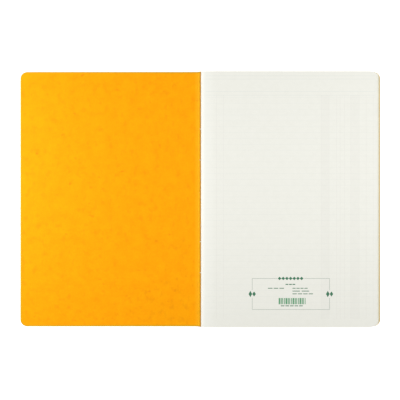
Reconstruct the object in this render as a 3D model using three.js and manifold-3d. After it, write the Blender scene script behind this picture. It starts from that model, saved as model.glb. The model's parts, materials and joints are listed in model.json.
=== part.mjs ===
// A4 ledger book, thread sewn through the fold, lying open at its first page.
// One folded card cover holds twenty folded sheets, which are forty leaves, and two thread stitches hold them all.
// Millimetres. X points right to the fore edge, Y to the head of the page, Z up. The table is at Z = 0.
// Every leaf and the front cover turn about one line, the fold axis, which runs along Y through the stitches.

import * as THREE from "three";
import { mergeVertices } from "three/addons/utils/BufferGeometryUtils.js";
import Module from "manifold-3d";

const wasm = await Module();
wasm.setup();

// Driving dimensions of the book and its cover
const BOOK_HEIGHT = 297; // cover and leaves are trimmed together at head and tail
const COVER_WIDTH = 210; // from the fold axis to the fore edge
const CARD_THICKNESS = 0.5;
const COVER_BEND_REACH = 3.5; // how far from the fold axis the card reaches the table

// Driving dimensions of the sheets
const SHEET_COUNT = 20;
const PAPER_THICKNESS = 0.13;
const FIRST_LEAF_SETBACK = 5.1; // the top leaf ends this far inside the cover's fore edge
const LAST_LEAF_SETBACK = 0.6; // and the bottom leaf this far, so the fore edge is a slope
const LEAF_BEND_REACH = 6; // how far from the fold axis the leaves lie flat
const CORNER_RADIUS = 8; // outer corners of cover and leaves

// Driving dimensions of the two stitches
const THREAD_DIAMETER = 0.7;
const STITCH_LENGTH = 36;
const STITCH_SPACING = 131; // from the middle of one stitch to the middle of the other
const STITCH_DROP = 2; // the pair sits this far nearer to the tail than to the head
const THREAD_BEND_RADIUS = 0.8;
const OUTER_STITCH_DEPTH = 1.9; // the outside run lies this far below the fold axis, in the groove of the cover

// Clearances
const AIR_BETWEEN_LEAVES = 0.02;
const AIR_UNDER_COVER = 0.06; // between a cover and the leaf next to it
const COVER_FOLD_GAP = 0.05; // from the fold axis to the card, both ways
const SHEET_FOLD_GAP = 0.2; // from the card at the fold to the outermost sheet
const THREAD_CLEARANCE = 0.1;
const THREAD_JOINT_GAP = 0.3; // between the outside and the inside half of a stitch

// Facets
const BEND_STEPS = 7;
const CORNER_STEPS = 4; // in an eighth of a turn
const THREAD_SIDES = 8;
const THREAD_STEPS = 60;

// Sizes that follow from those
const LEAF_COUNT = 2 * SHEET_COUNT;
const LEAF_PITCH = PAPER_THICKNESS + AIR_BETWEEN_LEAVES;
const BLOCK_HALF = (SHEET_COUNT - 0.5) * LEAF_PITCH + PAPER_THICKNESS / 2;
const COVER_INSIDE = BLOCK_HALF + AIR_UNDER_COVER;
const FOLD_AXIS_HEIGHT = COVER_INSIDE + CARD_THICKNESS;
const THREAD_RADIUS = THREAD_DIAMETER / 2;
const THREAD_SLIT = THREAD_RADIUS + THREAD_CLEARANCE;
const OUTER_SHEET_FOLD = COVER_FOLD_GAP + CARD_THICKNESS + SHEET_FOLD_GAP + PAPER_THICKNESS / 2;
const INNER_RUN_X = LEAF_BEND_REACH + THREAD_SLIT;
const INNER_LEAF_START = INNER_RUN_X + THREAD_SLIT;
const HEAD_STITCH_Y = STITCH_SPACING / 2 - STITCH_DROP;
const TAIL_STITCH_Y = -STITCH_SPACING / 2 - STITCH_DROP;
const HOLE_HALF_DEPTH = COVER_FOLD_GAP + CARD_THICKNESS + THREAD_CLEARANCE;

const card = new THREE.MeshStandardMaterial({ color: 0xfea411, roughness: 0.78, metalness: 0 });
const paper = new THREE.MeshStandardMaterial({ color: 0xf2f1e9, roughness: 0.85, metalness: 0 });
const thread = new THREE.MeshStandardMaterial({ color: 0xfbf8ee, roughness: 0.6, metalness: 0 });

// A geometry as a solid that can be cut
function toSolid(geometry) {
  const bare = geometry.clone();
  bare.deleteAttribute("normal");
  bare.deleteAttribute("uv");
  const merged = mergeVertices(bare, 1e-4);
  const mesh = new wasm.Mesh({
    numProp: 3,
    vertProperties: new Float32Array(merged.attributes.position.array),
    triVerts: new Uint32Array(merged.index.array),
  });
  return new wasm.Manifold(mesh);
}

// A solid as a named mesh, lifted so that the fold axis is at its height over the table
function toNode(name, solid, material) {
  const mesh = solid.getMesh();
  const geometry = new THREE.BufferGeometry();
  geometry.setAttribute("position", new THREE.BufferAttribute(new Float32Array(mesh.vertProperties), 3));
  geometry.setIndex(new THREE.BufferAttribute(new Uint32Array(mesh.triVerts), 1));
  geometry.computeVertexNormals();
  const node = new THREE.Mesh(geometry, material);
  node.name = name;
  node.position.z = FOLD_AXIS_HEIGHT;
  return node;
}

// Points of a quarter ellipse about (reach, 0), from near the fold axis up to the flat part at (reach, rise)
function bendPoints(reach, halfWidth, rise, startAngle) {
  const points = [];
  for (let i = 0; i <= BEND_STEPS; i++) {
    const angle = startAngle + (Math.PI / 2 - startAngle) * (i / BEND_STEPS);
    points.push(new THREE.Vector2(reach - halfWidth * Math.cos(angle), rise * Math.sin(angle)));
  }
  return points;
}

// The section of a bent sheet of paper or card, in X and Z about the fold axis, on the upper side.
// Its middle line rises from the fold as a quarter ellipse and runs flat to the fore edge.
function sheetSection(reach, halfWidth, rise, thickness, foldGap, edge) {
  const half = thickness / 2;
  const startAngle = Math.asin(foldGap / (rise - half));
  const outside = bendPoints(reach, halfWidth + half, rise + half, startAngle);
  const inside = bendPoints(reach, halfWidth - half, rise - half, startAngle);
  const corners = [new THREE.Vector2(edge, rise + half), new THREE.Vector2(edge, rise - half)];
  return new THREE.Shape([...outside, ...corners, ...inside.reverse()]);
}

// The section of a sheet too near the thread to have a bend: it is flat from its start to the fore edge
function flatSection(start, rise, thickness, edge) {
  const low = rise - thickness / 2;
  const high = rise + thickness / 2;
  return new THREE.Shape([
    new THREE.Vector2(start, high),
    new THREE.Vector2(edge, high),
    new THREE.Vector2(edge, low),
    new THREE.Vector2(start, low),
  ]);
}

// The plan of a cover or leaf: straight along the fold, with two round corners at the fore edge
function planOutline(edge) {
  const half = BOOK_HEIGHT / 2;
  const outline = new THREE.Shape();
  outline.moveTo(0, -half);
  outline.lineTo(edge - CORNER_RADIUS, -half);
  outline.absarc(edge - CORNER_RADIUS, -half + CORNER_RADIUS, CORNER_RADIUS, -Math.PI / 2, 0, false);
  outline.absarc(edge - CORNER_RADIUS, half - CORNER_RADIUS, CORNER_RADIUS, 0, Math.PI / 2, false);
  outline.lineTo(0, half);
  outline.closePath();
  return outline;
}

// A section drawn along the fold for the height of the book, trimmed to the plan with its round corners
function trimmedSheet(section, edge) {
  const drawn = new THREE.ExtrudeGeometry(section, { depth: BOOK_HEIGHT, bevelEnabled: false });
  drawn.rotateX(Math.PI / 2);
  drawn.translate(0, BOOK_HEIGHT / 2, 0);
  const plan = new THREE.ExtrudeGeometry(planOutline(edge), {
    depth: 2 * FOLD_AXIS_HEIGHT,
    bevelEnabled: false,
    curveSegments: CORNER_STEPS,
  });
  return toSolid(drawn).intersect(toSolid(plan));
}

// The four places along Y where the thread passes through the fold
function holePlaces() {
  const half = STITCH_LENGTH / 2;
  return [HEAD_STITCH_Y, TAIL_STITCH_Y].flatMap((middle) => [middle - half, middle + half]);
}

// The upper side cover as it lies when the book is closed, with a hole for the thread at each end of each stitch
function coverSolid() {
  const middle = COVER_INSIDE + CARD_THICKNESS / 2;
  const halfWidth = COVER_BEND_REACH - COVER_FOLD_GAP - CARD_THICKNESS / 2;
  const section = sheetSection(
    COVER_BEND_REACH,
    halfWidth,
    middle,
    CARD_THICKNESS,
    COVER_FOLD_GAP,
    COVER_WIDTH,
  );
  let cover = trimmedSheet(section, COVER_WIDTH);
  for (const y of holePlaces()) {
    const hole = new THREE.BoxGeometry(2 * HOLE_HALF_DEPTH, 2 * THREAD_SLIT, 2 * OUTER_STITCH_DEPTH);
    hole.translate(0, y, 0);
    cover = cover.subtract(toSolid(hole));
  }
  return cover;
}

// A leaf above the fold axis. Its number counts from 1 at the top, and its bend nests inside that of the leaf above.
function leafSolid(number, edge) {
  const rise = (SHEET_COUNT + 0.5 - number) * LEAF_PITCH;
  const outerRise = (SHEET_COUNT - 0.5) * LEAF_PITCH;
  const halfWidth = ((LEAF_BEND_REACH - OUTER_SHEET_FOLD) * rise) / outerRise;
  const clearsThread = rise - PAPER_THICKNESS / 2 > THREAD_SLIT && halfWidth > PAPER_THICKNESS / 2;
  const section = clearsThread
    ? sheetSection(LEAF_BEND_REACH, halfWidth, rise, PAPER_THICKNESS, THREAD_SLIT, edge)
    : flatSection(INNER_LEAF_START, rise, PAPER_THICKNESS, edge);
  return trimmedSheet(section, edge);
}

// Turned about the fold axis by half a turn, and mirrored in the plane of the fold axis
const opened = (solid) => solid.rotate([0, 180, 0]);
const below = (solid) => solid.mirror([0, 0, 1]);

// The fore edge of each leaf, from the setback of the first to that of the last
function leafEdge(number) {
  const share = (number - 1) / (LEAF_COUNT - 1);
  return COVER_WIDTH - FIRST_LEAF_SETBACK + (FIRST_LEAF_SETBACK - LAST_LEAF_SETBACK) * share;
}

// A thread in a U: two legs joined by a run, all in one plane. legAxis points from the run to the ends of the legs.
function stitchSolid(runCentre, legAxis, legLength) {
  const along = new THREE.Vector3(0, 1, 0);
  const at = (u, v) => runCentre.clone().addScaledVector(along, u).addScaledVector(legAxis, v);
  const half = STITCH_LENGTH / 2;
  const bend = THREAD_BEND_RADIUS;
  const path = new THREE.CurvePath();
  path.add(new THREE.LineCurve3(at(-half, legLength), at(-half, bend)));
  path.add(new THREE.QuadraticBezierCurve3(at(-half, bend), at(-half, 0), at(bend - half, 0)));
  path.add(new THREE.LineCurve3(at(bend - half, 0), at(half - bend, 0)));
  path.add(new THREE.QuadraticBezierCurve3(at(half - bend, 0), at(half, 0), at(half, bend)));
  path.add(new THREE.LineCurve3(at(half, bend), at(half, legLength)));
  const round = new THREE.Shape();
  round.absarc(0, 0, THREAD_RADIUS, 0, 2 * Math.PI, false);
  const tube = new THREE.ExtrudeGeometry(round, {
    steps: THREAD_STEPS,
    curveSegments: THREAD_SIDES / 2,
    bevelEnabled: false,
    extrudePath: path,
  });
  return toSolid(tube);
}

// The outside half of a stitch, in the groove under the fold, and the inside half, in the innermost fold
function outsideStitch(y) {
  return stitchSolid(new THREE.Vector3(0, y, -OUTER_STITCH_DEPTH), new THREE.Vector3(0, 0, 1), OUTER_STITCH_DEPTH);
}

function insideStitch(y) {
  const legLength = INNER_RUN_X - THREAD_RADIUS - THREAD_JOINT_GAP;
  return stitchSolid(new THREE.Vector3(INNER_RUN_X, y, 0), new THREE.Vector3(-1, 0, 0), legLength);
}

const book = new THREE.Group();

book.add(toNode("front_cover", opened(coverSolid()), card));
book.add(toNode("back_cover", below(coverSolid()), card));

for (let number = 1; number <= LEAF_COUNT; number++) {
  const name = "leaf_" + String(number).padStart(2, "0");
  const edge = leafEdge(number);
  const upper = number <= SHEET_COUNT;
  const solid = upper ? leafSolid(number, edge) : below(leafSolid(LEAF_COUNT + 1 - number, edge));
  book.add(toNode(name, solid, paper));
}

book.add(toNode("stitch_head_outside", outsideStitch(HEAD_STITCH_Y), thread));
book.add(toNode("stitch_tail_outside", outsideStitch(TAIL_STITCH_Y), thread));
book.add(toNode("stitch_head_inside", insideStitch(HEAD_STITCH_Y), thread));
book.add(toNode("stitch_tail_inside", insideStitch(TAIL_STITCH_Y), thread));

export default book;
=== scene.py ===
"""A sewn A4 ledger book lying open at its first page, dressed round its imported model.

Unless a docstring says otherwise, sizes are in millimetres, measured from the fold axis, which runs along
Y. They become metres, over the table, when a mesh is made. X points to the fore edge of the pages, Y to
their head and Z up. Every surface is worked out in whole arrays, as a function of two parameters.
"""

import json
import logging
import math
from dataclasses import dataclass
from enum import Enum

import bpy
import numpy as np
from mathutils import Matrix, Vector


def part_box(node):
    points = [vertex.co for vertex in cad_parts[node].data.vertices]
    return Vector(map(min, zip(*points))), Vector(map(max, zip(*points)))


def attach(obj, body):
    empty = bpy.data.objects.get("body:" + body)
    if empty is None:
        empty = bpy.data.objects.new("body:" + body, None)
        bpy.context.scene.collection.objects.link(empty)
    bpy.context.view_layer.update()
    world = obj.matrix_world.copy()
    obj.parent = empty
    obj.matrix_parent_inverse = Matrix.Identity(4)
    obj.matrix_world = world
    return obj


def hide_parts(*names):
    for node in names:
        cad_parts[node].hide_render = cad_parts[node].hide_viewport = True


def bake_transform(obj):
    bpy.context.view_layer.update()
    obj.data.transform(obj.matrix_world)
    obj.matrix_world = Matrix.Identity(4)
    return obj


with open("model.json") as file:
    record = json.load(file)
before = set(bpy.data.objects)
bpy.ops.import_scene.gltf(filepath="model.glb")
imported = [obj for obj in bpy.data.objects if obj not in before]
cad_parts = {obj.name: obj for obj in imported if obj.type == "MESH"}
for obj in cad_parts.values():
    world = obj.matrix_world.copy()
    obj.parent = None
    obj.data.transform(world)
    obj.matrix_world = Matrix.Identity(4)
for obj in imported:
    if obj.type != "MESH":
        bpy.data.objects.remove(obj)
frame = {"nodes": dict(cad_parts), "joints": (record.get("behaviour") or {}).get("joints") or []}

log = logging.getLogger("ledger_book")

MM = 0.001
REST_PLACE = "rest_place"
SPINE_BODY = "back_cover_and_spine"
FIRST_LEAF = "leaf_01"
INNERMOST_LEAF = "leaf_20"

Colour = tuple[float, float, float]
Socket = bpy.types.NodeSocket


class Slot(Enum):
    """The record's material slots."""

    CARD = "cover_card"
    PAPER = "ledger_paper"
    THREAD = "thread"


class Face(Enum):
    """Which side of a leaf or cover a surface is on, by the index of its material on the piece."""

    FRONT = 0
    BACK = 1
    RIM = 2


@dataclass(frozen=True)
class BookSizes:
    """Sizes that all sub-assemblies share, in millimetres from the fold axis."""

    axis_height: float
    cover_width: float
    height: float
    card: float = 0.5
    card_bend_reach: float = 3.5
    card_fold_gap: float = 0.05
    sheet_fold_gap: float = 0.2
    paper: float = 0.13
    leaf_bend_reach: float = 6.0
    corner_radius: float = 8.0
    thread: float = 0.7
    thread_slit: float = 0.45
    stitch_length: float = 36.0
    stitch_spacing: float = 131.0
    stitch_drop: float = 2.0
    stitch_depth: float = 1.9

    @classmethod
    def from_frame(cls) -> "BookSizes":
        """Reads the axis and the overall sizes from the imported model.

        Returns:
            The sizes.
        """
        axis_height = frame["joints"][0]["pos_m"][2] / MM
        low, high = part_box("back_cover")
        return cls(axis_height, high.x / MM, (high.y - low.y) / MM)

    @property
    def card_inside(self) -> float:
        """Distance from the fold axis to the inner face of a cover's flat part."""
        return self.axis_height - self.card

    def stitch_ends(self) -> np.ndarray:
        """Places along Y where thread passes through the fold.

        Returns:
            The lower and the upper place, one row for each stitch, from the head of the book to its foot.
        """
        half = self.stitch_length / 2
        middles = np.array([[self.stitch_spacing / 2], [-self.stitch_spacing / 2]]) - self.stitch_drop
        return middles + np.array([[-half, half]])


def quads_between(index: np.ndarray) -> np.ndarray:
    """Faces between the vertices of a grid.

    Args:
        index: Each vertex's index, rows by columns.

    Returns:
        One row of four vertex indices for each face.
    """
    corners = [index[:-1, :-1], index[1:, :-1], index[1:, 1:], index[:-1, 1:]]
    return np.stack(corners, axis=-1).reshape(-1, 4)


def facing_out(points: np.ndarray, quads: np.ndarray) -> np.ndarray:
    """Turns all faces round if the closed skin encloses a negative volume.

    The volume is a sixth of the sum, over each face's two triangles, of the triple product of the corners.
    Only its sign counts here, so the sum stands for it.

    Args:
        points: Vertices, one row each.
        quads: Faces, one row of four indices each.

    Returns:
        The faces, all facing outwards.
    """
    corners = points[quads] - points.mean(axis=0)
    first = np.einsum("ij,ij->i", corners[:, 0], np.cross(corners[:, 1], corners[:, 2]))
    second = np.einsum("ij,ij->i", corners[:, 0], np.cross(corners[:, 2], corners[:, 3]))
    return quads if (first + second).sum() > 0 else quads[:, ::-1]


def make_piece(
    name: str,
    points: np.ndarray,
    quads: np.ndarray,
    sizes: BookSizes,
    finishes: list[bpy.types.Material],
    face_finish: np.ndarray | None = None,
    sharp_from: float = 35.0,
) -> bpy.types.Object:
    """Puts a skin into a new object at the origin, in metres over the table.

    Args:
        name: The object's name.
        points: Vertices in millimetres from the fold axis.
        quads: Faces, one row of four indices each.
        sizes: The book's sizes, for the height of the fold axis.
        finishes: The materials, in the order that face_finish counts them.
        face_finish: The material index of each face, or None where there is one material.
        sharp_from: Edges between faces that meet at more than this angle, in degrees, are sharp.

    Returns:
        The new object.
    """
    lifted = (points + np.array([0.0, 0.0, sizes.axis_height])) * MM
    mesh = bpy.data.meshes.new(name)
    mesh.vertices.add(len(lifted))
    mesh.vertices.foreach_set("co", lifted.astype(np.float32).ravel())
    mesh.loops.add(quads.size)
    mesh.loops.foreach_set("vertex_index", quads.astype(np.int32).ravel())
    mesh.polygons.add(len(quads))
    mesh.polygons.foreach_set("loop_start", np.arange(0, quads.size, 4, dtype=np.int32))
    mesh.polygons.foreach_set("loop_total", np.full(len(quads), 4, dtype=np.int32))
    for finish in finishes:
        mesh.materials.append(finish)
    if face_finish is not None:
        mesh.polygons.foreach_set("material_index", face_finish.astype(np.int32))
    mesh.update(calc_edges=True)
    mesh.validate()
    mesh.shade_smooth()
    mesh.set_sharp_from_angle(angle=math.radians(sharp_from))
    piece = bpy.data.objects.new(name, mesh)
    bpy.context.scene.collection.objects.link(piece)
    return piece


def slab(front: np.ndarray, back: np.ndarray) -> tuple[np.ndarray, np.ndarray, np.ndarray]:
    """The closed skin of a sheet, from the grids of its two faces.

    The rim joins the outline of one grid to that of the other with one ring of faces.

    Args:
        front: Points of the front face, rows by columns by three.
        back: Points of the back face, in the same layout.

    Returns:
        The vertices, the faces, and which Face each one belongs to.
    """
    rows, columns = front.shape[:2]
    count = rows * columns
    points = np.concatenate([front.reshape(-1, 3), back.reshape(-1, 3)])
    index = np.arange(count).reshape(rows, columns)
    ring = np.concatenate([index[0, :-1], index[:-1, -1], index[-1, :0:-1], index[:0:-1, 0]])
    following = np.roll(ring, -1)
    rim = np.stack([ring, following, following + count, ring + count], axis=-1)
    top = quads_between(index)
    bottom = quads_between(index + count)[:, ::-1]
    sides = np.repeat([Face.FRONT.value, Face.BACK.value, Face.RIM.value], [len(top), len(bottom), len(rim)])
    return points, facing_out(points, np.concatenate([top, bottom, rim])), sides


def outline_rows(
    height: float, edge: float, radius: float, corner_rows: int, middle_rows: int
) -> tuple[np.ndarray, np.ndarray]:
    """The outline of a page: heights along the fold, and the place of the fore edge at each.

    The fore edge is straight, and each corner is a quarter circle, sampled at even angles.

    Args:
        height: The page's height.
        edge: Distance from the fold axis to the fore edge.
        radius: Radius of the corners.
        corner_rows: Steps in each corner.
        middle_rows: Steps between the corners.

    Returns:
        The heights and the fore edges, in rising order of height.
    """
    turn = np.linspace(0, math.pi / 2, corner_rows + 1)
    corner_y = height / 2 - radius + radius * np.sin(turn)
    corner_x = edge - radius + radius * np.cos(turn)
    middle = np.linspace(-(height / 2 - radius), height / 2 - radius, middle_rows + 1)[1:-1]
    y = np.concatenate([-corner_y[::-1], middle, corner_y])
    x = np.concatenate([corner_x[::-1], np.full(len(middle), edge), corner_x])
    return y, x


def bent_face(
    reach: float,
    half_width: float,
    rise: float,
    start: float,
    bend_steps: int,
    flat_steps: int,
    y: np.ndarray,
    edge: np.ndarray,
    pull: float = 0.0,
    settling: float = 14.0,
) -> np.ndarray:
    """One face of a sheet that leaves the fold in a quarter ellipse and runs flat to the fore edge.

    On the bend, X is reach less half_width times the cosine of the angle, and Z is rise times its sine. After
    it X goes from reach to the fore edge of each row, as the square of an even share. Z is lowered by the
    share pull up to reach, and by less and less of it, as one less a smooth step, over the settling length.

    Args:
        reach: X of the end of the bend.
        half_width: The ellipse's half axis along X.
        rise: The ellipse's half axis along Z, and the height of the flat part.
        start: Angle at which the bend starts, in radians.
        bend_steps: Steps along the bend.
        flat_steps: Steps along the flat part.
        y: Heights of the rows.
        edge: Fore edge of each row.
        pull: Share of the rise that the stitches' pull takes off next to the fold.
        settling: Length over which the pull wears off.

    Returns:
        Points, steps by rows by three.
    """
    angle = np.linspace(start, math.pi / 2, bend_steps + 1)[:, None]
    share = np.linspace(0, 1, flat_steps + 1)[1:, None] ** 2
    bend_x = np.broadcast_to(reach - half_width * np.cos(angle), (bend_steps + 1, len(y)))
    bend_z = np.broadcast_to(rise * np.sin(angle), (bend_steps + 1, len(y)))
    flat_x = reach + (edge[None, :] - reach) * share
    flat_z = np.full((flat_steps, len(y)), rise)
    x = np.concatenate([bend_x, flat_x])
    away = np.clip((x - reach) / settling, 0, 1)
    z = np.concatenate([bend_z, flat_z]) * (1 - pull * (1 - away * away * (3 - 2 * away)))
    return np.stack([x, np.broadcast_to(y, x.shape), z], axis=-1)


@dataclass(frozen=True)
class Ramp:
    """How a number follows a value: evenly between two limits, and unchanged outside them."""

    low: float
    high: float
    at_low: float
    at_high: float


@dataclass(frozen=True)
class Grain:
    """A noise pattern: the size of its patches, the count and strength of its finer layers, and its scale."""

    size: float
    detail: float
    roughness: float = 0.5
    scale: tuple[float, float, float] = (1.0, 1.0, 1.0)


class Shader:
    """A node material under construction, with short calls for the nodes that the finishes share."""

    def __init__(self, name: str, place_attribute: str = "") -> None:
        """Starts a material with a Principled shader.

        Args:
            name: The material's name.
            place_attribute: The attribute that holds each point's place at rest, for a piece that bends.
                Without it the material reads the object coordinates.
        """
        self.material = bpy.data.materials.new(name)
        self.material.use_nodes = True
        self.nodes = self.material.node_tree.nodes
        self.links = self.material.node_tree.links
        self.surface = self.nodes["Principled BSDF"]
        if place_attribute:
            node = self.nodes.new("ShaderNodeAttribute")
            node.attribute_name = place_attribute
            self.place = node.outputs["Vector"]
        else:
            self.place = self.nodes.new("ShaderNodeTexCoord").outputs["Object"]

    def put(self, value: Socket | float | Colour, target: Socket) -> None:
        """Links a value's socket to an input, or sets the input to a number or a colour.

        Args:
            value: A socket, a number or a colour.
            target: The input.
        """
        if isinstance(value, Socket):
            self.links.new(value, target)
        elif isinstance(value, tuple):
            target.default_value = (*value, 1.0)
        else:
            target.default_value = value

    def math(self, operation: str, *values: Socket | float) -> Socket:
        """A Math node.

        Args:
            operation: The operation's name, as the node has it.
            values: A socket or a number for each input that the operation takes.

        Returns:
            The result's socket.
        """
        node = self.nodes.new("ShaderNodeMath")
        node.operation = operation
        for value, target in zip(values, node.inputs):
            self.put(value, target)
        return node.outputs[0]

    def mean(self, first: Socket, second: Socket) -> Socket:
        """Half the sum of two values."""
        return self.math("ADD", self.math("MULTIPLY", first, 0.5), self.math("MULTIPLY", second, 0.5))

    def highest(self, values: list[Socket]) -> Socket:
        """The highest of some values.

        Args:
            values: The values' sockets.

        Returns:
            The result's socket.
        """
        found = values[0]
        for value in values[1:]:
            found = self.math("MAXIMUM", found, value)
        return found

    def scaled_place(self, scale: tuple[float, float, float]) -> Socket:
        """The place on the piece, scaled along each axis.

        Args:
            scale: The scale along X, Y and Z.

        Returns:
            The scaled place's socket.
        """
        node = self.nodes.new("ShaderNodeMapping")
        node.inputs["Scale"].default_value = scale
        self.links.new(self.place, node.inputs["Vector"])
        return node.outputs[0]

    def axes(self) -> tuple[Socket, Socket]:
        """The place along X and along Y, in millimetres."""
        node = self.nodes.new("ShaderNodeSeparateXYZ")
        self.links.new(self.scaled_place((1 / MM, 1 / MM, 1 / MM)), node.inputs[0])
        return node.outputs["X"], node.outputs["Y"]

    def noise(self, grain: Grain) -> Socket:
        """Noise from 0 to 1.

        Args:
            grain: The pattern. A scale over one along an axis makes its patches shorter there.

        Returns:
            The socket of the noise's value.
        """
        node = self.nodes.new("ShaderNodeTexNoise")
        node.inputs["Scale"].default_value = 1 / (grain.size * MM)
        node.inputs["Detail"].default_value = grain.detail
        node.inputs["Roughness"].default_value = grain.roughness
        self.links.new(self.scaled_place(grain.scale), node.inputs["Vector"])
        return node.outputs[0]

    def follow(self, value: Socket, ramp: Ramp) -> Socket:
        """A number that follows a value.

        Args:
            value: The value's socket.
            ramp: The limits of the value, and the number at each.

        Returns:
            The number's socket.
        """
        node = self.nodes.new("ShaderNodeMapRange")
        node.inputs["From Min"].default_value = ramp.low
        node.inputs["From Max"].default_value = ramp.high
        node.inputs["To Min"].default_value = ramp.at_low
        node.inputs["To Max"].default_value = ramp.at_high
        self.links.new(value, node.inputs["Value"])
        return node.outputs[0]

    def mix(self, share: Socket, first: Socket | Colour, second: Socket | Colour) -> Socket:
        """Two colours mixed.

        Args:
            share: Socket of the second colour's share.
            first: A colour or its socket.
            second: A colour or its socket.

        Returns:
            The mixed colour's socket.
        """
        node = self.nodes.new("ShaderNodeMix")
        node.data_type = "RGBA"
        first_colour, second_colour = (target for target in node.inputs if target.type == "RGBA")
        self.links.new(share, node.inputs["Factor"])
        self.put(first, first_colour)
        self.put(second, second_colour)
        return next(result for result in node.outputs if result.type == "RGBA")

    def near(self, value: Socket, places: tuple[float, ...], half_width: float) -> Socket:
        """One where a value lies near any of some places, and zero elsewhere.

        Args:
            value: The value's socket.
            places: The places.
            half_width: How far the value may lie from one.

        Returns:
            The mask's socket.
        """
        return self.highest([self.math("COMPARE", value, place, half_width) for place in places])

    def between(self, value: Socket, low: float, high: float) -> Socket:
        """One where the value is between low and high, and zero elsewhere."""
        return self.near(value, ((low + high) / 2,), (high - low) / 2)

    def spots(self, centres: tuple[tuple[float, float], ...], half_axes: tuple[float, float]) -> Socket:
        """One inside any of some ellipses in the X-Y plane, and zero outside.

        The squares of a point's offsets, each divided by its half axis, add up to one on the ellipse. The
        mask falls from one to zero there, as that sum rises from 0.7 to 1.2.

        Args:
            centres: X and Y of each ellipse's middle, in millimetres.
            half_axes: The half axes along X and Y.

        Returns:
            The mask's socket.
        """
        soft_edge = Ramp(0.7, 1.2, 1.0, 0.0)
        place = self.axes()
        found = []
        for centre in centres:
            squares = []
            for value, middle, half_axis in zip(place, centre, half_axes):
                offset = self.math("DIVIDE", self.math("SUBTRACT", value, middle), half_axis)
                squares.append(self.math("POWER", offset, 2.0))
            found.append(self.follow(self.math("ADD", *squares), soft_edge))
        return self.highest(found)

    def depth_inside(self, half_x: float, half_y: float, radius: float) -> Socket:
        """How far inside a rectangle with round corners a point lies.

        That is the radius less the distance to the nearest corner's centre, which counts only outwards along
        each axis. So the depth stays at the radius further in.

        Args:
            half_x: Half the rectangle's width in millimetres.
            half_y: Half its height.
            radius: Radius of its corners.

        Returns:
            The socket of the depth in millimetres.
        """
        squares = []
        for value, half in zip(self.axes(), (half_x, half_y)):
            past = self.math("SUBTRACT", self.math("ABSOLUTE", value), half - radius)
            squares.append(self.math("POWER", self.math("MAXIMUM", past, 0.0), 2.0))
        return self.math("SUBTRACT", radius, self.math("SQRT", self.math("ADD", *squares)))

    def bumps(self, height: Socket, depth: float) -> None:
        """Raises the surface by the height's value.

        Args:
            height: Socket of the height, from 0 to 1.
            depth: Height of a 1, in millimetres.
        """
        node = self.nodes.new("ShaderNodeBump")
        node.inputs["Distance"].default_value = depth * MM
        self.links.new(height, node.inputs["Height"])
        self.links.new(node.outputs["Normal"], self.surface.inputs["Normal"])

    def done(
        self,
        colour: Socket | Colour,
        roughness: Socket | float,
        specular: float,
        sheen: Colour = (1.0, 1.0, 1.0),
    ) -> bpy.types.Material:
        """Sets the shader's main inputs.

        Args:
            colour: A colour or its socket.
            roughness: A number or its socket.
            specular: The specular level.
            sheen: Colour of the reflection seen straight on.

        Returns:
            The finished material.
        """
        self.put(colour, self.surface.inputs["Base Color"])
        self.put(roughness, self.surface.inputs["Roughness"])
        self.put(specular, self.surface.inputs["Specular IOR Level"])
        self.put(sheen, self.surface.inputs["Specular Tint"])
        return self.material


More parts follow.
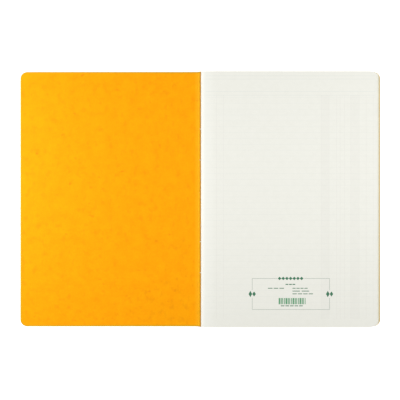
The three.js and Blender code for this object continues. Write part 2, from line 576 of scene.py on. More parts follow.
@dataclass(frozen=True)
class PressboardFinish:
    """Glazed orange pressboard: matted fibres, darker specks and flecks, and a faint grain.
    It also carries painted light: a painted highlight on the crest of the fold, and painted shade in the
    groove at the fold, along the outer edges and in the stitch holes.

    The ramps for the fold follow the distance from it, and the edge's ramp the depth inside the outline.
    """

    base: Colour = (0.99, 0.392, 0.001)
    deep: Colour = (0.97, 0.341, 0.001)
    speck: Colour = (0.78, 0.257, 0.002)
    fleck: Colour = (0.70, 0.15, 0.004)
    pale_core_and_highlight: Colour = (0.97, 0.56, 0.018)
    outline_shade: Colour = (0.58, 0.365, 0.012)
    groove_shade: Colour = (0.50, 0.22, 0.003)
    hole_shade: Colour = (0.16, 0.06, 0.002)
    sheen: Colour = (1.0, 0.57, 0.18)
    clouds: Grain = Grain(14.0, 4.0, 0.62)
    fibres: Grain = Grain(1.1, 3.0, scale=(1.0, 0.72, 1.0))
    specks: Grain = Grain(6.0, 2.0, 0.55, (1.0, 0.7, 1.0))
    flecks: Grain = Grain(11.0, 2.0, 0.55, (1.0, 1.5, 1.0))
    matting: Ramp = Ramp(0.38, 0.62, 0.0, 1.0)
    specking: Ramp = Ramp(0.53, 0.75, 0.0, 0.45)
    flecking: Ramp = Ramp(0.68, 0.79, 0.0, 0.5)
    core_wear: Ramp = Ramp(0.3, 0.7, 0.35, 0.75)
    crest_highlight: Ramp = Ramp(0.9, 7.0, 0.6, 0.0)
    groove_shading: Ramp = Ramp(0.72, 1.44, 0.65, 0.0)
    outline_shading: Ramp = Ramp(0.9, 2.2, 0.75, 0.0)
    hole_half_axes: tuple[float, float] = (0.55, 0.48)
    hole_shade_strength: float = 0.75
    speck_dip: float = 0.25
    grain_height: float = 0.03
    roughness: Ramp = Ramp(0.3, 0.7, 0.5, 0.62)
    specular: float = 0.3

    def make(
        self,
        name: str,
        outline: tuple[float, float, float],
        holes: tuple[tuple[float, float], ...],
        is_rim: bool = False,
    ) -> bpy.types.Material:
        """Builds the material.

        Args:
            name: The material's name.
            outline: Half the open card's width, half its height and the radius of its corners.
            holes: X and Y of the stitch holes in the fold, where painted shade stands in for the holes.
            is_rim: Whether it is for the cut edge, where the paler core of the card shows.

        Returns:
            The finished material.
        """
        shader = Shader(name, REST_PLACE)
        clouds = shader.noise(self.clouds)
        fibres = shader.noise(self.fibres)
        matted = shader.mean(clouds, fibres)
        colour = shader.mix(shader.follow(matted, self.matting), self.deep, self.base)
        specks = shader.follow(shader.noise(self.specks), self.specking)
        colour = shader.mix(specks, colour, self.speck)
        flecks = shader.follow(shader.noise(self.flecks), self.flecking)
        colour = shader.mix(flecks, colour, self.fleck)
        across = shader.math("ABSOLUTE", shader.axes()[0])
        # On the cut edge the card's paler core shows through in patches of fibre. On the faces the same pale
        # colour is a painted highlight on the crest of the fold, fading out by 7 mm from it.
        core_and_highlight = shader.follow(fibres, self.core_wear) if is_rim else shader.follow(across, self.crest_highlight)
        colour = shader.mix(core_and_highlight, colour, self.pale_core_and_highlight)
        # Painted shade along the outer edges, strongest within 0.9 mm of the outline and gone by 2.2 mm.
        outline_shaded = shader.follow(shader.depth_inside(*outline), self.outline_shading)
        colour = shader.mix(outline_shaded, colour, self.outline_shade)
        # Painted shade in the groove at the fold, within 1.44 mm of the fold axis.
        colour = shader.mix(shader.follow(across, self.groove_shading), colour, self.groove_shade)
        # Painted shade in the stitch holes, which the card's mesh doesn't have.
        holed = shader.spots(holes, self.hole_half_axes)
        colour = shader.mix(shader.math("MULTIPLY", holed, self.hole_shade_strength), colour, self.hole_shade)
        dips = shader.math("MULTIPLY", specks, self.speck_dip)
        shader.bumps(shader.math("SUBTRACT", matted, dips), self.grain_height)
        return shader.done(colour, shader.follow(clouds, self.roughness), self.specular, self.sheen)


@dataclass(frozen=True)
class RulingLayout:
    """The ledger's ruling on one side of a leaf, in millimetres: rows across the page and columns up it."""

    top_lines: tuple[float, ...] = (143.1, 139.3)
    header_lines: tuple[float, ...] = (125.0, 120.6)
    columns: tuple[float, ...] = (18.8, 26.9, 140.2, 149.5, 158.2, 162.3, 167.5, 174.5, 184.4, 192.5, 200.6)
    tinted: tuple[tuple[float, float], ...] = ((140.2, 149.5), (174.5, 184.4))
    first_row: float = 84.0
    row_pitch: float = 6.79
    lowest_row: float = -138.9
    row_margin: float = 1.0
    left: float = 6.5
    right: float = 203.5
    row_half_width: float = 0.16
    column_half_width: float = 0.22
    head_weight: float = 2.2
    tint: float = 0.42

    def marks(self, shader: Shader) -> tuple[Socket, Socket]:
        """Builds the masks of the ruling from the place on the page.

        A row shows where the height, counted in row pitches from a row, is near a whole number. The lines at
        the head of the page are head_weight times as strong as a row, and a tinted column is tint times as
        strong as a column's line.

        Args:
            shader: The material under construction.

        Returns:
            The sockets of the rows' mask and the columns' mask.
        """
        x, y = shader.axes()
        across = shader.math("ABSOLUTE", x)
        lowest_head = self.header_lines[-1]
        from_row = shader.math("SUBTRACT", y, self.first_row + self.row_pitch / 2)
        turns = shader.math("FRACT", shader.math("DIVIDE", from_row, self.row_pitch))
        rows = shader.near(turns, (0.5,), self.row_half_width / self.row_pitch)
        body = shader.between(y, self.lowest_row - self.row_margin, lowest_head - self.row_margin)
        rows = shader.math("MULTIPLY", rows, body)
        heads = shader.near(y, self.header_lines + self.top_lines, self.row_half_width)
        heads = shader.math("MULTIPLY", heads, self.head_weight)
        lined = shader.between(across, self.left, self.right)
        rows = shader.math("MULTIPLY", shader.math("MAXIMUM", rows, heads), lined)
        marked = [shader.near(across, self.columns, self.column_half_width)]
        for low, high in self.tinted:
            marked.append(shader.math("MULTIPLY", shader.between(across, low, high), self.tint))
        column_run = shader.between(y, self.lowest_row, lowest_head)
        return rows, shader.math("MULTIPLY", shader.highest(marked), column_run)


@dataclass(frozen=True)
class PaperFinish:
    """Uncoated cream ledger paper: soft clouds of fibre, a fine tooth, and ruling where it has any.

    Next to the fold it is whiter, a painted highlight where the page curves down into the fold. From 207 mm
    out it is darker and yellower, painted shade at the fore edge, tinted by the orange cover. Both follow the
    distance from the fold in millimetres.
    """

    base: Colour = (0.835, 0.833, 0.766)
    cloudy: Colour = (0.811, 0.809, 0.739)
    gutter_highlight: Colour = (0.895, 0.895, 0.832)
    fore_edge_shade: Colour = (0.51, 0.41, 0.11)
    row_ink: Colour = (0.45, 0.56, 0.58)
    column_ink: Colour = (0.48, 0.42, 0.43)
    clouds: Grain = Grain(7.0, 5.0, 0.6)
    fibres: Grain = Grain(0.7, 3.0, scale=(1.0, 1.6, 1.0))
    matting: Ramp = Ramp(0.38, 0.62, 0.0, 1.0)
    gutter_lighting: Ramp = Ramp(5.0, 17.0, 0.6, 0.0)
    fore_edge_shading: Ramp = Ramp(207.0, 208.4, 0.0, 0.65)
    ruling: RulingLayout | None = None
    row_strength: float = 0.0
    column_strength: float = 0.0
    tooth_height: float = 0.012
    roughness: float = 0.6
    specular: float = 0.45

    def make(self, name: str) -> bpy.types.Material:
        """Builds the material.

        Args:
            name: The material's name.

        Returns:
            The finished material.
        """
        shader = Shader(name)
        tooth = shader.mean(shader.noise(self.clouds), shader.noise(self.fibres))
        colour = shader.mix(shader.follow(tooth, self.matting), self.cloudy, self.base)
        across = shader.math("ABSOLUTE", shader.axes()[0])
        # A painted highlight next to the fold, where the page curves down into it, gone by 17 mm.
        colour = shader.mix(shader.follow(across, self.gutter_lighting), colour, self.gutter_highlight)
        # Painted shade at the fore edge, darker and yellower from 207 mm out, tinted by the orange cover.
        colour = shader.mix(shader.follow(across, self.fore_edge_shading), colour, self.fore_edge_shade)
        if self.ruling:
            rows, columns = self.ruling.marks(shader)
            colour = shader.mix(shader.math("MULTIPLY", rows, self.row_strength), colour, self.row_ink)
            shown = shader.math("MULTIPLY", columns, self.column_strength)
            colour = shader.mix(shown, colour, self.column_ink)
        shader.bumps(tooth, self.tooth_height)
        return shader.done(colour, self.roughness, self.specular)


@dataclass(frozen=True)
class InkFinish:
    """Printing ink, paler in the patches where it sank into the paper."""

    colour: Colour
    faded: Colour
    patches: Grain = Grain(0.5, 3.0)
    fading: Ramp = Ramp(0.35, 0.7, 0.0, 0.6)
    roughness: float = 0.7
    specular: float = 0.3

    def make(self, name: str) -> bpy.types.Material:
        """Builds the material.

        Args:
            name: The material's name.

        Returns:
            The finished material.
        """
        shader = Shader(name)
        fading = shader.follow(shader.noise(self.patches), self.fading)
        return shader.done(shader.mix(fading, self.colour, self.faded), self.roughness, self.specular)


@dataclass(frozen=True)
class ThreadFinish:
    """Waxed white thread, with painted shade between its hairs."""

    base: Colour = (0.93, 0.92, 0.86)
    shade: Colour = (0.80, 0.78, 0.70)
    hairs: Grain = Grain(0.12, 3.0, scale=(3.0, 1.0, 3.0))
    shading: Ramp = Ramp(0.35, 0.65, 0.0, 1.0)
    hair_height: float = 0.01
    roughness: float = 0.55
    specular: float = 0.4

    def make(self, name: str) -> bpy.types.Material:
        """Builds the material.

        Args:
            name: The material's name.

        Returns:
            The finished material.
        """
        shader = Shader(name)
        hairs = shader.noise(self.hairs)
        # Painted shade between the hairs, where the noise is low.
        colour = shader.mix(shader.follow(hairs, self.shading), self.shade, self.base)
        shader.bumps(hairs, self.hair_height)
        return shader.done(colour, self.roughness, self.specular)


@dataclass
class CoverCard:
    """The one folded card of the cover, with its crest over the fold and its round corners."""

    sizes: BookSizes
    finish: PressboardFinish = PressboardFinish()
    bend_steps: int = 20
    crest_steps: int = 14
    flat_steps: int = 34
    corner_rows: int = 12
    middle_rows: int = 44
    edge_rounding: float = 0.12
    rounding_steps: int = 3
    sharp_edge_degrees: float = 60.0
    pull: float = 0.09

    def half_face(self, outwards: float, pull: float, y: np.ndarray, edge: np.ndarray) -> np.ndarray:
        """The back cover's half of one face, from the crest of the fold to the fore edge.

        It lies under the fold axis. The half width of its bend is the bend's reach less the fold gap and the
        card, plus outwards.

        Args:
            outwards: Distance from the inner face to this one.
            pull: Share of the depth that the stitches' pull takes off next to the fold.
            y: Heights of the rows.
            edge: Fore edge of each row.

        Returns:
            Points, steps by rows by three.
        """
        s = self.sizes
        half_width = s.card_bend_reach - s.card_fold_gap - s.card + outwards
        face = bent_face(
            s.card_bend_reach,
            half_width,
            s.card_inside + outwards,
            0.0,
            self.bend_steps,
            self.flat_steps,
            y,
            edge,
            pull,
        )
        return face * np.array([1.0, 1.0, -1.0])

    def crest(self, radius: float, y: np.ndarray) -> np.ndarray:
        """The half circle over the fold axis, from the back cover's side to the front cover's.

        Args:
            radius: Radius of the half circle.
            y: Heights of the rows.

        Returns:
            Points, steps by rows by three, without the two ends that the covers already have.
        """
        turn = np.linspace(0, math.pi, self.crest_steps + 1)[1:-1, None]
        x = np.broadcast_to(radius * np.cos(turn), (len(turn), len(y)))
        z = np.broadcast_to(radius * np.sin(turn), (len(turn), len(y)))
        return np.stack([x, np.broadcast_to(y, x.shape), z], axis=-1)

    def face(self, outwards: float) -> np.ndarray:
        """One whole face of the card, from the back cover's fore edge over the crest to the front cover's.

        Args:
            outwards: Distance from the inner face to this one.

        Returns:
            Points, steps by rows by three.
        """
        s = self.sizes
        y, edge = outline_rows(s.height, s.cover_width, s.corner_radius, self.corner_rows, self.middle_rows)
        right = self.half_face(outwards, 0.0, y, edge)
        left = self.half_face(outwards, self.pull, y, edge) * np.array([-1.0, 1.0, 1.0])
        over = self.crest(s.card_fold_gap + s.card - outwards, y)
        return np.concatenate([right[::-1], over, left])

    def round_edges(self, piece: bpy.types.Object) -> None:
        """Rounds the cut edges of the card and keeps the result as the piece's own mesh.

        Args:
            piece: The card.
        """
        bevel = piece.modifiers.new("rounded_edges", "BEVEL")
        bevel.width = self.edge_rounding * MM
        bevel.segments = self.rounding_steps
        bevel.limit_method = "ANGLE"
        bevel.angle_limit = math.radians(self.sharp_edge_degrees)
        bpy.context.view_layer.update()
        shaped = piece.evaluated_get(bpy.context.evaluated_depsgraph_get())
        plain = piece.data
        piece.data = bpy.data.meshes.new_from_object(shaped)
        piece.modifiers.clear()
        bpy.data.meshes.remove(plain)
        piece.data.name = piece.name

    def keep_rest_place(self, mesh: bpy.types.Mesh) -> None:
        """Stores each vertex's place at rest, so that the pattern follows the card when it folds.

        Args:
            mesh: The card's mesh.
        """
        places = np.empty(len(mesh.vertices) * 3, dtype=np.float32)
        mesh.vertices.foreach_get("co", places)
        mesh.attributes.new(REST_PLACE, "FLOAT_VECTOR", "POINT").data.foreach_set("vector", places)

    def build(self) -> list[bpy.types.Object]:
        """Makes the card in one piece, from the back cover's fore edge over the fold axis to the front
        cover's.

        Returns:
            The card.
        """
        s = self.sizes
        points, quads, sides = slab(self.face(0.0), self.face(s.card))
        outline = (s.cover_width, s.height / 2, s.corner_radius)
        holes = tuple((0.0, float(y)) for y in s.stitch_ends().ravel())
        finishes = [
            self.finish.make("pressboard_inside", outline, holes),
            self.finish.make("pressboard_outside", outline, holes),
            self.finish.make("pressboard_cut_edge", outline, holes, is_rim=True),
        ]
        card = make_piece("cover_card", points, quads, s, finishes, sides)
        self.round_edges(card)
        self.keep_rest_place(card.data)
        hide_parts("front_cover", "back_cover")
        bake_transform(card)
        return [card]


@dataclass
class LeafBlock:
    """The forty leaves of the twenty sewn sheets, nested at the fold and sloped at the fore edge."""

    sizes: BookSizes
    first_page: PaperFinish
    ruled_page: PaperFinish
    cut_edge: PaperFinish = PaperFinish(base=(0.88, 0.85, 0.72), cloudy=(0.82, 0.78, 0.64))
    bend_steps: int = 16
    flat_steps: int = 26
    corner_rows: int = 8
    middle_rows: int = 14
    pull: float = 0.1
    edge_spread: float = 0.12
    seed: int = 7

    def names(self) -> list[str]:
        """The leaves' names, from the top of the block to the bottom."""
        return sorted(name for name in frame["nodes"] if name.startswith("leaf_"))

    def faces(self, name: str, outer_rise: float, spread: float) -> tuple[np.ndarray, np.ndarray]:
        """The front and back face of a leaf.

        Its bend is that of the outermost leaf, scaled by the ratio of their heights over the fold axis, so
        that the leaves nest. The bend starts where the slit for the thread ends. A leaf too near the thread
        to bend round it is flat.

        Args:
            name: The leaf's node, whose box gives its height over the fold axis and its fore edge.
            outer_rise: Height of the outermost leaf's middle over the fold axis.
            spread: How far this leaf's fore edge stands out of line.

        Returns:
            The grids of the upper and the lower face.
        """
        s = self.sizes
        low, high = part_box(name)
        top = high.z / MM - s.axis_height
        bottom = low.z / MM - s.axis_height
        side = 1.0 if top > -bottom else -1.0
        half_sheet = s.paper / 2
        rise = max(top, -bottom) - half_sheet
        inner_rise = rise - half_sheet
        fore_edge = high.x / MM + spread
        y, edge = outline_rows(s.height, fore_edge, s.corner_radius, self.corner_rows, self.middle_rows)
        fold = s.card_fold_gap + s.card + s.sheet_fold_gap + half_sheet
        half_width = (s.leaf_bend_reach - fold) * rise / outer_rise
        grids = []
        for shift in (half_sheet, -half_sheet):
            if inner_rise > s.thread_slit:
                grid = bent_face(
                    s.leaf_bend_reach,
                    half_width + shift,
                    rise + shift,
                    math.asin(s.thread_slit / inner_rise),
                    self.bend_steps,
                    self.flat_steps,
                    y,
                    edge,
                    self.pull if side > 0 else 0.0,
                )
            else:
                # A bend of no width is two equal rows of points, and one of them is enough.
                grid = bent_face(low.x / MM, 0.0, rise + shift, math.pi / 2, 1, self.flat_steps, y, edge)[1:]
            grids.append(grid * np.array([1.0, 1.0, side]))
        return (grids[0], grids[1]) if side > 0 else (grids[1], grids[0])

    def build(self) -> list[bpy.types.Object]:
        """Makes every leaf. The top one has the first page on its front, and all other faces are ruled.

        Returns:
            The leaves, from the top of the block to the bottom.
        """
        first = self.first_page.make("first_page_paper")
        ruled = self.ruled_page.make("ruled_paper")
        cut = self.cut_edge.make("paper_cut_edge")
        rng = np.random.default_rng(self.seed)
        names = self.names()
        page = max(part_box(name)[1].z / MM for name in names) - self.sizes.axis_height
        outer_rise = page - self.sizes.paper / 2
        leaves = []
        for number, name in enumerate(names):
            spread = 0.0 if number == 0 else rng.uniform(-self.edge_spread, self.edge_spread)
            front, back = self.faces(name, outer_rise, spread)
            points, quads, sides = slab(front, back)
            finishes = [first if number == 0 else ruled, ruled, cut]
            leaf = make_piece(f"paper_{name}", points, quads, self.sizes, finishes, sides)
            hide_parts(name)
            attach(leaf, name)
            leaves.append(leaf)
        return leaves


@dataclass(frozen=True)
class Rule:
    """A printed rule that is broken into dashes, in millimetres on the page."""

    start: float
    end: float
    y: float
    thickness: float
    dash: float


@dataclass
class TitlePanel:
    """The printed panel near the foot of the first page: a frame with lozenges, broken rules and bars."""

    sizes: BookSizes
    left: float = 60.3
    right: float = 150.1
    top: float = -92.0
    bottom: float = -128.1
    line_width: float = 0.46
    ink_height: float = 0.008
    ink_sink: float = 0.004
    row_middle: float = 104.8
    row_length: float = 25.6
    row_count: int = 7
    row_margin: float = 3.0
    row_lozenge: tuple[float, float] = (4.339, 4.0)
    side_lozenges: tuple[tuple[float, float], ...] = ((4.158, 7.4), (4.158, 5.92))
    side_shift: float = 2.142
    side_break: float = 4.44
    rules: tuple[Rule, ...] = (
        Rule(99.0, 111.0, -98.9, 1.1, 3.2),
        Rule(78.5, 98.5, -103.4, 0.85, 5.0),
        Rule(107.0, 125.5, -103.4, 0.85, 3.6),
        Rule(107.0, 128.5, -106.7, 0.85, 7.6),
        Rule(107.0, 132.0, -109.9, 0.85, 5.6),
        Rule(93.5, 120.0, -123.8, 0.95, 4.4),
    )
    dash_share: float = 0.8
    bar_left: float = 91.0
    bar_right: float = 122.4
    bar_top: float = -114.7
    bar_bottom: float = -122.0
    bar_count: int = 31
    bar_rhythm: tuple[float, ...] = (0.92, 0.8, 0.22, 0.88, 0.55, 0.18, 0.7, 0.36)
    frame_ink: InkFinish = InkFinish((0.36, 0.42, 0.36), (0.46, 0.51, 0.45))
    ornament_ink: InkFinish = InkFinish((0.034, 0.163, 0.083), (0.10, 0.26, 0.16))
    bar_ink: InkFinish = InkFinish((0.062, 0.29, 0.12), (0.12, 0.36, 0.19))

    def rectangle(self, left: float, right: float, low: float, high: float) -> np.ndarray:
        """The four corners of a rectangle on the page."""
        return np.array([[left, low], [right, low], [right, high], [left, high]])

    def lozenge(self, x: float, y: float, width: float, height: float) -> np.ndarray:
        """The four corners of a lozenge on the page."""
        return np.array([[x - width / 2, y], [x, y - height / 2], [x + width / 2, y], [x, y + height / 2]])

    def frame_shapes(self) -> np.ndarray:
        """The lines of the frame, with a break for the row of lozenges and one for each pair.

        Returns:
            The corners of each line, shapes by four by two.
        """
        row_break = self.row_length / 2 + self.row_margin
        half = self.line_width / 2
        middle = (self.top + self.bottom) / 2
        lines = [
            self.rectangle(self.left, self.row_middle - row_break, self.top - half, self.top + half),
            self.rectangle(self.row_middle + row_break, self.right, self.top - half, self.top + half),
            self.rectangle(self.left, self.right, self.bottom - half, self.bottom + half),
        ]
        for x in (self.left, self.right):
            lines.append(self.rectangle(x - half, x + half, self.bottom + half, middle - self.side_break))
            lines.append(self.rectangle(x - half, x + half, middle + self.side_break, self.top - half))
        return np.stack(lines)

    def ornament_shapes(self) -> np.ndarray:
        """Plain lozenges: a row on the top line, and a pair on each side.

        Returns:
            The corners of each lozenge, shapes by four by two.
        """
        middle = (self.top + self.bottom) / 2
        half = self.row_length / 2
        places = np.linspace(self.row_middle - half, self.row_middle + half, self.row_count)
        row = [self.lozenge(x, self.top, *self.row_lozenge) for x in places]
        shifts = (-self.side_shift, self.side_shift)
        pairs = [
            self.lozenge(x + shift, middle, *size)
            for x in (self.left, self.right)
            for shift, size in zip(shifts, self.side_lozenges)
        ]
        return np.stack(row + pairs)

    def dashes(self, rule: Rule) -> list[np.ndarray]:
        """A rule broken into even dashes. Each fills dash_share of its part of the rule.

        Args:
            rule: The rule's place and the length that a dash comes close to.

        Returns:
            The corners of each dash.
        """
        length = rule.end - rule.start
        count = max(1, round(length * self.dash_share / rule.dash))
        pitch = length / count
        low, high = rule.y - rule.thickness / 2, rule.y + rule.thickness / 2
        starts = [rule.start + number * pitch for number in range(count)]
        return [self.rectangle(x, x + self.dash_share * pitch, low, high) for x in starts]

    def rule_shapes(self) -> np.ndarray:
        """The dashes of all rules."""
        return np.stack([shape for rule in self.rules for shape in self.dashes(rule)])

    def bar_shapes(self) -> np.ndarray:
        """Plain upright bars at an even pitch, whose widths repeat one rhythm of thick and thin.

        Returns:
            The corners of each bar, shapes by four by two.
        """
        pitch = (self.bar_right - self.bar_left) / self.bar_count
        starts = self.bar_left + pitch * np.arange(self.bar_count)
        widths = np.resize(self.bar_rhythm, self.bar_count) * pitch
        corners = self.rectangle(0.0, 1.0, 0.0, 1.0)
        x = starts[:, None] + widths[:, None] * corners[None, :, 0]
        heights = self.bar_bottom + (self.bar_top - self.bar_bottom) * corners[None, :, 1]
        return np.stack([x, np.broadcast_to(heights, x.shape)], axis=-1)

    def prisms(self, shapes: np.ndarray, page: float) -> tuple[np.ndarray, np.ndarray]:
        """Thin prisms of ink, one for each four-cornered shape.

        Each reaches from ink_sink under the page to ink_height over it.

        Args:
            shapes: Corners, shapes by four by two, anticlockwise.
            page: Height of the page over the fold axis.

        Returns:
            The vertices and faces of all prisms.
        """
        count = len(shapes)
        low = np.concatenate([shapes, np.full((count, 4, 1), page - self.ink_sink)], axis=-1)
        high = np.concatenate([shapes, np.full((count, 4, 1), page + self.ink_height)], axis=-1)
        points = np.concatenate([low, high], axis=1)
        first = np.arange(count) * points.shape[1]
        one = np.array([[3, 2, 1, 0], [4, 5, 6, 7], [0, 1, 5, 4], [1, 2, 6, 5], [2, 3, 7, 6], [3, 0, 4, 7]])
        return points.reshape(-1, 3), (first[:, None, None] + one).reshape(-1, 4)

    def build(self) -> list[bpy.types.Object]:
        """Prints the panel on the first page.

        Returns:
            The four prints.
        """
        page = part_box(FIRST_LEAF)[1].z / MM - self.sizes.axis_height
        green = self.ornament_ink.make("green_ink")
        parts = {
            "printed_frame": (self.frame_shapes(), self.frame_ink.make("pale_frame_ink")),
            "printed_ornament": (self.ornament_shapes(), green),
            "printed_rules": (self.rule_shapes(), green),
            "printed_bars": (self.bar_shapes(), self.bar_ink.make("fresh_green_ink")),
        }
        pieces = []
        for name, (shapes, ink) in parts.items():
            points, quads = self.prisms(shapes, page)
            piece = make_piece(name, points, quads, self.sizes, [ink])
            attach(piece, FIRST_LEAF)
            pieces.append(piece)
        return pieces


@dataclass
class Stitches:
    """The two thread stitches, each an outside half in the groove and an inside half in the inner fold."""

    sizes: BookSizes
    finish: ThreadFinish = ThreadFinish()
    bend_radius: float = 0.8
    longest_cut: float = 0.45
    bend_samples: int = 13
    plies: int = 3
    ply_depth: float = 0.16
    twist_pitch: float = 2.6
    sides: int = 24
    step: float = 0.12
    end_radius: float = 0.05
    crest_height: float = 0.66
    crest_lean: float = 0.85
    crest_overrun: float = 0.15
    start_height: float = 0.3
    joint_gap: float = 0.08

    def rounded_path(self, corners: np.ndarray) -> np.ndarray:
        """A path through straight runs whose corners are rounded by parabolas, sampled evenly.

        Each corner is a quadratic curve from a point one bend radius before it to one bend radius after it,
        or the share longest_cut of the shorter run where that is nearer.

        Args:
            corners: The corner points, one row each, ends included.

        Returns:
            Points along the path, one row each.
        """
        runs = np.diff(corners, axis=0)
        lengths = np.linalg.norm(runs, axis=1)
        ahead = runs / lengths[:, None]
        shorter = np.minimum(lengths[:-1], lengths[1:])
        cut = np.minimum(self.bend_radius, self.longest_cut * shorter)[:, None]
        before = (corners[1:-1] - ahead[:-1] * cut)[:, None]
        after = (corners[1:-1] + ahead[1:] * cut)[:, None]
        share = np.linspace(0, 1, self.bend_samples)[None, :, None]
        rest = 1 - share
        curves = rest**2 * before + 2 * share * rest * corners[1:-1, None] + share**2 * after
        rough = np.concatenate([corners[:1], curves.reshape(-1, 3), corners[-1:]])
        along = np.concatenate([[0.0], np.cumsum(np.linalg.norm(np.diff(rough, axis=0), axis=1))])
        even = np.linspace(0, along[-1], int(along[-1] / self.step) + 1)
        return np.stack([np.interp(even, along, rough[:, axis]) for axis in range(3)], axis=-1)

    def twisted(self, path: np.ndarray) -> tuple[np.ndarray, np.ndarray]:
        """A twisted thread along a path, closed at both ends.

        Seen along the path, each ply is a lobe that reaches the thread's full radius. Between two lobes the
        radius falls by the share ply_depth, as one less the size of the cosine of half the plies times the
        angle. The angle turns once round over each twist_pitch, and the end rings narrow to the share
        end_radius.

        Args:
            path: Points along the thread's middle.

        Returns:
            The vertices and the faces.
        """
        radius = self.sizes.thread / 2
        ahead = np.gradient(path, axis=0)
        ahead /= np.linalg.norm(ahead, axis=1)[:, None]
        # No run points along the diagonal of the three axes, so it can steady the rings.
        side = np.cross(ahead, np.ones(3))
        side /= np.linalg.norm(side, axis=1)[:, None]
        other = np.cross(ahead, side)
        angle = np.linspace(0, 2 * math.pi, self.sides, endpoint=False)[None, :]
        turned = angle + (2 * math.pi * self.step / self.twist_pitch) * np.arange(len(path))[:, None]
        lobes = radius * (1 - self.ply_depth * (1 - np.abs(np.cos(self.plies * turned / 2))))
        along_side = (lobes * np.cos(angle))[..., None] * side[:, None]
        along_other = (lobes * np.sin(angle))[..., None] * other[:, None]
        ring = along_side + along_other
        tube = path[:, None] + ring
        narrowed = path[[0, -1], None] + self.end_radius * ring[[0, -1]]
        grid = np.concatenate([narrowed[:1], tube, narrowed[1:]])
        rows = len(grid)
        index = np.arange(rows * self.sides).reshape(rows, self.sides)
        skin = quads_between(np.concatenate([index, index[:, :1]], axis=1))
        across = np.arange(self.sides // 2 - 1)
        opposite = self.sides - 1 - across
        cap = np.stack([across, across + 1, opposite - 1, opposite], axis=-1)
        quads = np.concatenate([skin, cap[:, ::-1], cap + (rows - 1) * self.sides])
        points = grid.reshape(-1, 3)
        return points, facing_out(points, quads)

    def outside_path(self, ends: np.ndarray) -> np.ndarray:
        """From the sheets over the crest of the card, down through its hole, along the groove and back.

        Args:
            ends: The two places along Y where it passes through the fold.

        Returns:
            Points along the path.
        """
        s = self.sizes
        low, high = ends
        lip = s.card_fold_gap + s.card + self.joint_gap
        half = np.array(
            [
                [lip, low, self.start_height],
                [lip * self.crest_lean, low, self.crest_height],
                [-self.crest_overrun, low, self.crest_height],
                [0.0, low, -s.stitch_depth],
            ]
        )
        mirrored = half[::-1].copy()
        mirrored[:, 1] = high
        return self.rounded_path(np.concatenate([half, mirrored]))

    def inside_path(self, ends: np.ndarray) -> np.ndarray:
        """From the fold through the slit of the sheets, along the innermost fold and back.

        Args:
            ends: The two places along Y where it passes through the fold.

        Returns:
            Points along the path.
        """
        s = self.sizes
        low, high = ends
        start = s.card_fold_gap + s.card + self.joint_gap
        run = s.leaf_bend_reach + s.thread_slit
        corners = [[start, low, 0.0], [run, low, 0.0], [run, high, 0.0], [start, high, 0.0]]
        return self.rounded_path(np.array(corners))

    def build(self) -> list[bpy.types.Object]:
        """Makes the four halves on their bodies.

        Returns:
            The halves, from the head of the book to its foot.
        """
        waxed = self.finish.make("waxed_thread")
        pieces = []
        for end_name, ends in zip(("head", "tail"), self.sizes.stitch_ends()):
            for half, path, body in (
                ("outside", self.outside_path(ends), SPINE_BODY),
                ("inside", self.inside_path(ends), INNERMOST_LEAF),
            ):
                points, quads = self.twisted(path)
                name = f"thread_{end_name}_{half}"
                piece = make_piece(name, points, quads, self.sizes, [waxed], sharp_from=80.0)
                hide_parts(f"stitch_{end_name}_{half}")
                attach(piece, body)
                pieces.append(piece)
        return pieces


@dataclass(frozen=True)
class SoftLight:
    """A square light that faces the middle of the book: place and side in metres, power in watts."""

    name: str
    place: tuple[float, float, float]
    side: float
    power: float

    def build(self) -> None:
        """Sets the light up. It tilts by the angle between the vertical and its line to the book."""
        data = bpy.data.lights.new(self.name, "AREA")
        data.shape = "SQUARE"
        data.size = self.side
        data.energy = self.power
        lamp = bpy.data.objects.new(self.name, data)
        lamp.location = self.place
        lamp.visible_camera = False
        x, y, z = self.place
        lamp.rotation_euler = (math.atan2(math.hypot(x, y), z), 0.0, math.atan2(y, x) + math.pi / 2)
        bpy.context.scene.collection.objects.link(lamp)


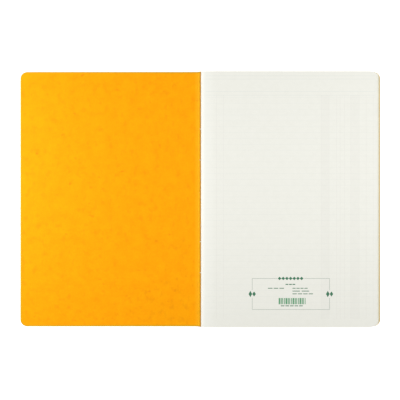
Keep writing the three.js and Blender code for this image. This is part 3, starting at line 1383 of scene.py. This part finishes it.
@dataclass(frozen=True)
class Studio:
    """The floor, a low soft light on the left, a higher one on the right, and the camera above the book."""

    lights: tuple[SoftLight, ...] = (
        SoftLight("key_light", (-0.5, 0.05, 0.28), 0.3, 2.25),
        SoftLight("fill_light", (0.45, 0.08, 0.6), 0.3, 2.47),
    )
    surround_light: float = 0.43
    surround_seen: float = 0.94
    floor_size: float = 12000.0
    floor_drop: float = 0.4
    floor_glow: float = 0.6
    floor_tones: tuple[Colour, Colour] = ((0.80, 0.80, 0.80), (0.84, 0.84, 0.84))
    floor_clouds: Grain = Grain(400.0, 1.0)
    camera_height: float = 950.0
    picture_width: float = 467.3
    middle_x: float = -0.3
    middle_y: float = -1.0
    sensor: float = 36.0

    def floor(self) -> None:
        """A pale floor just under the book, bright enough to read as white."""
        mesh = bpy.data.meshes.new("floor")
        half = self.floor_size / 2 * MM
        under = -self.floor_drop * MM
        corners = [(-half, -half, under), (half, -half, under), (half, half, under), (-half, half, under)]
        mesh.from_pydata(corners, [], [(0, 1, 2, 3)])
        shader = Shader("floor_white")
        shader.put((1.0, 1.0, 1.0), shader.surface.inputs["Emission Color"])
        shader.put(self.floor_glow, shader.surface.inputs["Emission Strength"])
        colour = shader.mix(shader.noise(self.floor_clouds), *self.floor_tones)
        mesh.materials.append(shader.done(colour, roughness=0.9, specular=0.1))
        piece = bpy.data.objects.new("floor", mesh)
        bpy.context.scene.collection.objects.link(piece)

    def surround(self) -> None:
        """An even surround, which the camera sees as pale as the floor.

        Its strength is the light that it gives. For rays straight from the camera it is the seen value.
        """
        world = bpy.data.worlds.new("surround")
        world.use_nodes = True
        nodes, links = world.node_tree.nodes, world.node_tree.links
        rays = nodes.new("ShaderNodeLightPath")
        strength = nodes.new("ShaderNodeMath")
        strength.operation = "MULTIPLY_ADD"
        strength.inputs[1].default_value = self.surround_seen - self.surround_light
        strength.inputs[2].default_value = self.surround_light
        background = nodes["Background"]
        background.inputs["Color"].default_value = (1.0, 1.0, 1.0, 1.0)
        links.new(rays.outputs["Is Camera Ray"], strength.inputs[0])
        links.new(strength.outputs[0], background.inputs["Strength"])
        bpy.context.scene.world = world
        bpy.context.scene.view_settings.view_transform = "Standard"

    def camera(self) -> None:
        """A camera that looks straight down, with the head of the page at the top of the picture."""
        data = bpy.data.cameras.new("camera")
        data.sensor_width = self.sensor
        data.lens = self.sensor * self.camera_height / self.picture_width
        viewer = bpy.data.objects.new("camera", data)
        viewer.location = (self.middle_x * MM, self.middle_y * MM, self.camera_height * MM)
        bpy.context.scene.collection.objects.link(viewer)
        bpy.context.scene.camera = viewer

    def build(self) -> None:
        """Sets up the floor, the lights, the surround and the camera."""
        self.floor()
        for light in self.lights:
            light.build()
        self.surround()
        self.camera()


def main() -> None:
    """Builds the sub-assemblies in order and reports each piece."""
    logging.basicConfig(level=logging.INFO, format="%(message)s")
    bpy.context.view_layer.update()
    sizes = BookSizes.from_frame()
    ruling = RulingLayout()
    first_page = PaperFinish(ruling=ruling, row_strength=0.13, column_strength=0.12)
    ruled_page = PaperFinish(ruling=ruling, row_strength=0.75, column_strength=0.7)
    assemblies = [
        CoverCard(sizes),
        LeafBlock(sizes, first_page, ruled_page),
        TitlePanel(sizes),
        Stitches(sizes),
    ]
    for assembly in assemblies:
        for piece in assembly.build():
            log.info("%s: %s, %d faces", type(assembly).__name__, piece.name, len(piece.data.polygons))
    Studio().build()


if __name__ == "__main__":
    main()
